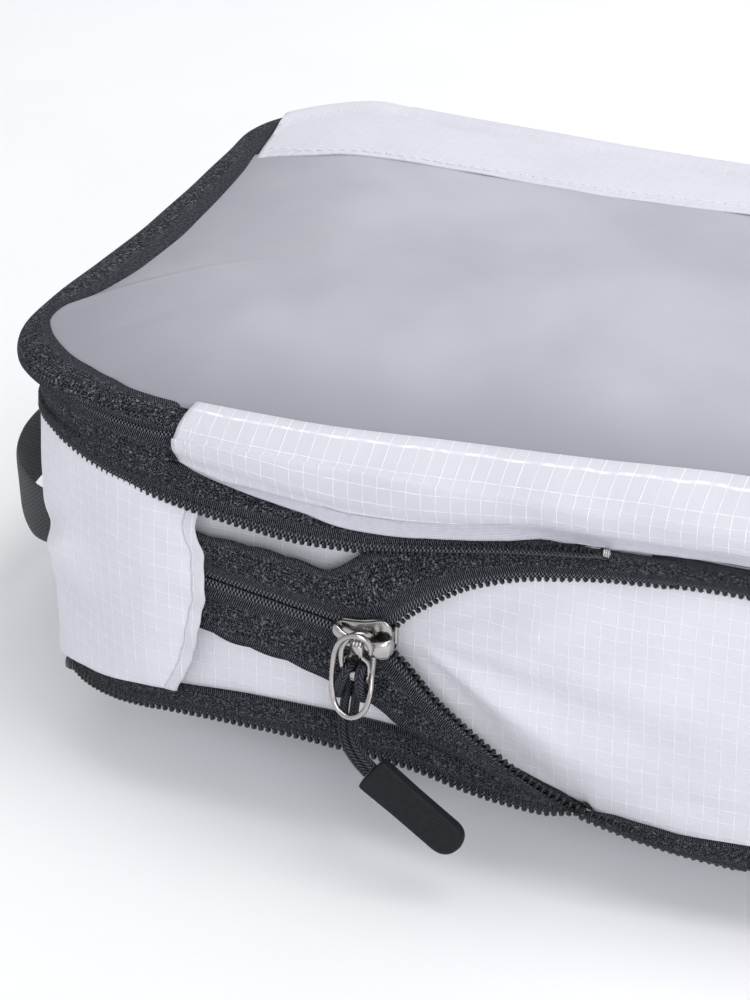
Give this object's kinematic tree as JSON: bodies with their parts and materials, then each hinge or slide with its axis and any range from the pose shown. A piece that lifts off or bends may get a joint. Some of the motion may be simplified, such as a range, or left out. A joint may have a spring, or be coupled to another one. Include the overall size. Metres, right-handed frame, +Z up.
{
  "type": "compression packing cube",
  "caption": "Soft-sided packing cube with a frosted window lid on a zip, a compression zip round the side wall, cord zip pulls and an end handle.",
  "frame": {"origin": "middle of the flat area that the cube stands on", "axes": "+X along the length, away from the handle's end; -Y is the side that the lid is hinged on; +Z up"},
  "size_m": [0.3078, 0.2138, 0.116],
  "materials": {
    "ripstop": "semi-sheer coated ripstop weave",
    "frosted_film": "frosted translucent film, satin",
    "zip_tape": "woven knitted tape, matt",
    "zip_coil": "moulded nylon coil, satin",
    "webbing": "woven webbing, matt",
    "binding": "folded woven binding, matt",
    "thread": "sewing thread",
    "slider_metal": "dark nickel plate, polished",
    "cord": "braided cord",
    "rubber_tab": "matt rubber with a fine moulded grid",
    "label": "blank satin label"
  },
  "bodies": {
    "base": {"bottom_panel": "ripstop", "gusset_lower_wall": "ripstop", "lower_seam_binding": "binding", "compression_lower_tape": "zip_tape", "compression_lower_coil": "zip_coil", "lower_end_stop": "slider_metal", "garage_flap": "ripstop", "handle_anchors": "webbing", "handle_bartacks": "thread"},
    "middle": {"zip_tail_upper_tape": "zip_tape", "zip_tail_lower_tape": "zip_tape", "tail_coil": "zip_coil", "start_stop": "slider_metal", "zip_start_upper_tape": "zip_tape", "zip_start_upper_coil": "zip_coil", "zip_start_lower_tape": "zip_tape", "zip_start_lower_coil": "zip_coil"},
    "upper": {"gusset_upper_wall": "ripstop", "upper_seam_binding": "binding", "compression_upper_tape": "zip_tape", "compression_upper_coil": "zip_coil", "upper_end_stop": "slider_metal", "main_zip_lower_tape": "zip_tape", "main_zip_lower_coil": "zip_coil", "hinge_strip_front": "ripstop", "main_zip_end_stops": "slider_metal"},
    "lid": {"window_panel": "frosted_film", "label_strip": "ripstop", "main_zip_upper_tape": "zip_tape", "main_zip_upper_coil": "zip_coil", "hinge_strip_top": "ripstop", "lid_binding": "binding", "care_label": "label"},
    "compression_slider": {"compression_slider_body": "slider_metal"},
    "compression_pull": {"compression_pull_plate": "slider_metal", "compression_pull_ring": "slider_metal", "compression_pull_cord": "cord", "compression_pull_tab": "rubber_tab"},
    "main_slider": {"main_slider_body": "slider_metal"},
    "main_pull": {"main_pull_plate": "slider_metal", "main_pull_ring": "slider_metal", "main_pull_cord": "cord", "main_pull_tab": "rubber_tab"},
    "handle": {"handle_webbing": "webbing"}
  },
  "joints": [
    {"name": "gusset_lower_fold", "type": "slide", "parent": "base", "child": "middle", "axis": [0, 0, -1], "range_m": [0, 0.012], "deforming": ["garage_flap", "zip_start_lower_tape", "zip_start_lower_coil"]},
    {"name": "gusset_upper_fold", "type": "slide", "parent": "middle", "child": "upper", "axis": [0, 0, -1], "range_m": [0, 0.012], "deforming": ["zip_start_upper_tape", "zip_start_upper_coil"]},
    {"name": "lid_hinge", "type": "hinge", "parent": "upper", "child": "lid", "pos_m": [0, -0.095, 0.102], "axis": [1, 0, 0], "range_deg": [0, 170]},
    {"name": "compression_slider_travel", "type": "slide", "parent": "middle", "child": "compression_slider", "axis": [1, 0, 0], "range_m": [0, 0.136]},
    {"name": "compression_pull_swing", "type": "hinge", "parent": "compression_slider", "child": "compression_pull", "pos_m": [-0.0395, -0.1001, 0.061], "axis": [1, 0, 0], "range_deg": [-110, 0]},
    {"name": "main_slider_travel", "type": "slide", "parent": "upper", "child": "main_slider", "axis": [1, 0, 0], "range_m": [-0.16, 0.035]},
    {"name": "main_pull_swing", "type": "hinge", "parent": "main_slider", "child": "main_pull", "pos_m": [0.062, 0.0971, 0.102], "axis": [1, 0, 0], "range_deg": [0, 110]},
    {"name": "handle_swing", "type": "hinge", "parent": "base", "child": "handle", "pos_m": [-0.1484, 0, 0.046], "axis": [0, 1, 0], "range_deg": [-30, 30]}
  ],
  "couplings": [
    {"joint": "gusset_upper_fold", "follows": "gusset_lower_fold", "ratio": 1},
    {"joint": "compression_slider_travel", "follows": "gusset_lower_fold", "ratio": 11.333}
  ]
}
